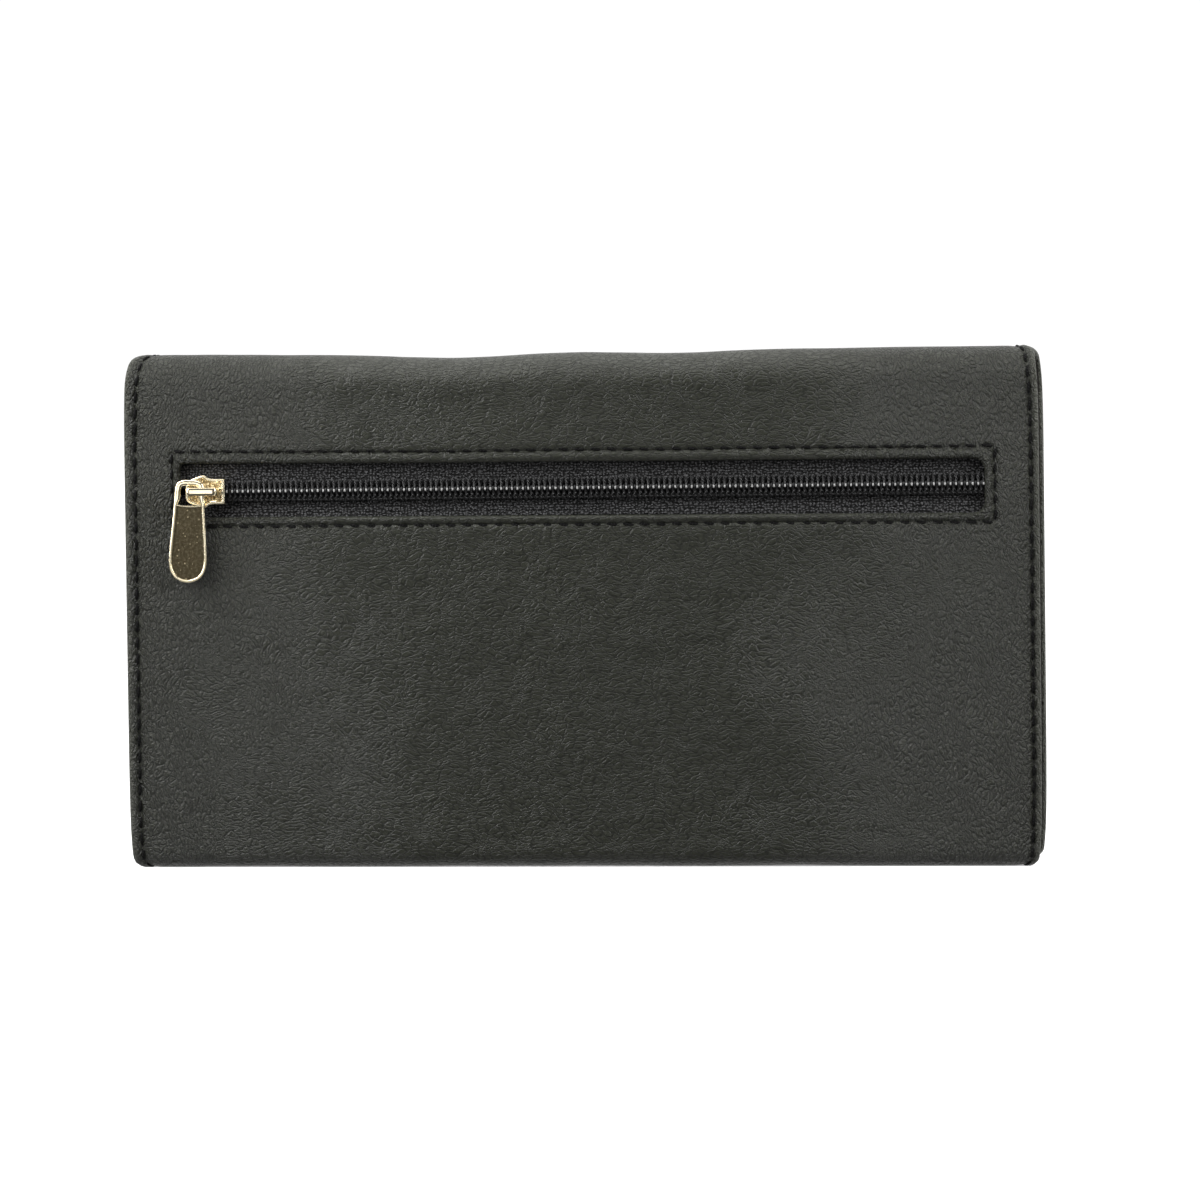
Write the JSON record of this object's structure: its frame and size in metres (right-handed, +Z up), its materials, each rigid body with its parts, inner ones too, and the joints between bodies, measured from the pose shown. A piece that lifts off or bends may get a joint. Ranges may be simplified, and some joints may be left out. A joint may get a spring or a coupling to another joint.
{
  "type": "flap wallet with back zip pocket",
  "caption": "Long leather flap wallet standing closed: fold-over top, zipped back pocket with slider and pull, gusseted compartments, card slots and a magnetic snap.",
  "frame": {"origin": "middle of the wallet's footprint, in the plane that it stands on", "axes": "+X along the zip, towards the end that the slider opens to; +Y from the zip side towards the flap; +Z up, towards the fold over the top"},
  "size_m": [0.19, 0.0316, 0.1065],
  "materials": {
    "outer_leather": "soft semi-matt creased grain",
    "inner_leather": "smooth semi-matt",
    "lining_cloth": "woven twill",
    "stiffener_board": "bonded fibre board",
    "zip_tape": "ribbed woven tape",
    "zip_coil": "satin nylon",
    "gold_metal": "polished pale gold",
    "washer_steel": "plain",
    "clear_film": "clear"
  },
  "bodies": {
    "root": {"back_panel": "outer_leather", "bottom_panel": "outer_leather", "back_board": "stiffener_board", "pocket_lining_front": "lining_cloth", "pocket_lining_rear": "lining_cloth", "pocket_bottom": "lining_cloth", "pocket_side_left": "lining_cloth", "pocket_side_right": "lining_cloth", "bottom_lining": "lining_cloth", "inner_back_wall": "lining_cloth", "card_slot_left_1": "inner_leather", "card_slot_left_2": "inner_leather", "card_slot_left_3": "inner_leather", "card_slot_right_1": "inner_leather", "card_slot_right_2": "inner_leather", "card_slot_right_3": "inner_leather", "gusset_left": "lining_cloth", "gusset_right": "lining_cloth"},
    "flap_top": {"top_panel": "outer_leather", "top_lining": "lining_cloth"},
    "flap": {"flap_panel": "outer_leather", "flap_board": "stiffener_board", "flap_lining": "lining_cloth", "snap_stud": "gold_metal", "snap_stud_washer": "washer_steel", "id_frame": "inner_leather", "id_film": "clear_film", "flap_card_slot_1": "inner_leather", "flap_card_slot_2": "inner_leather"},
    "front_wall": {"front_panel": "outer_leather", "front_board": "stiffener_board", "front_lining": "lining_cloth", "snap_socket": "gold_metal", "snap_socket_washer": "washer_steel"},
    "middle_divider": {"divider": "lining_cloth"},
    "zip_upper": {"zip_tape_upper": "zip_tape", "zip_coil_upper": "zip_coil"},
    "zip_lower": {"zip_tape_lower": "zip_tape", "zip_coil_lower": "zip_coil"},
    "slider": {"zip_slider": "gold_metal"},
    "pull": {"zip_pull": "gold_metal"}
  },
  "joints": [
    {"name": "flap_fold_back", "type": "hinge", "parent": "root", "child": "flap_top", "pos_m": [0, -0.01085, 0.105], "axis": [1, 0, 0], "range_deg": [0, 90]},
    {"name": "flap_fold_front", "type": "hinge", "parent": "flap_top", "child": "flap", "pos_m": [0, 0.01425, 0.105], "axis": [1, 0, 0], "range_deg": [0, 90]},
    {"name": "front_wall_spread", "type": "hinge", "parent": "root", "child": "front_wall", "pos_m": [0, 0.01001, 0.00064], "axis": [-1, 0, 0], "range_deg": [0, 10], "deforming": ["gusset_left", "gusset_right"]},
    {"name": "divider_spread", "type": "hinge", "parent": "root", "child": "middle_divider", "pos_m": [0, 0.00325, 0.0026], "axis": [-1, 0, 0], "range_deg": [0, 5]},
    {"name": "zip_slide", "type": "slide", "parent": "root", "child": "slider", "axis": [1, 0, 0], "range_m": [0, 0.155], "deforming": ["zip_coil_upper", "zip_coil_lower", "zip_tape_upper", "zip_tape_lower"]},
    {"name": "zip_part_upper", "type": "slide", "parent": "root", "child": "zip_upper", "axis": [0, 0, 1], "range_m": [0, 0.0036]},
    {"name": "zip_part_lower", "type": "slide", "parent": "root", "child": "zip_lower", "axis": [0, 0, -1], "range_m": [0, 0.0036]},
    {"name": "pull_swing", "type": "hinge", "parent": "slider", "child": "pull", "pos_m": [-0.08075, -0.01405, 0.0784], "axis": [0, 1, 0], "range_deg": [-30, 210]}
  ],
  "couplings": [
    {"joint": "flap_fold_front", "follows": "flap_fold_back", "ratio": 1},
    {"joint": "front_wall_spread", "follows": "flap_fold_back", "ratio": 0.1111},
    {"joint": "divider_spread", "follows": "flap_fold_back", "ratio": 0.0555},
    {"joint": "zip_part_upper", "follows": "zip_slide", "ratio": 0.0232},
    {"joint": "zip_part_lower", "follows": "zip_slide", "ratio": 0.0232}
  ]
}
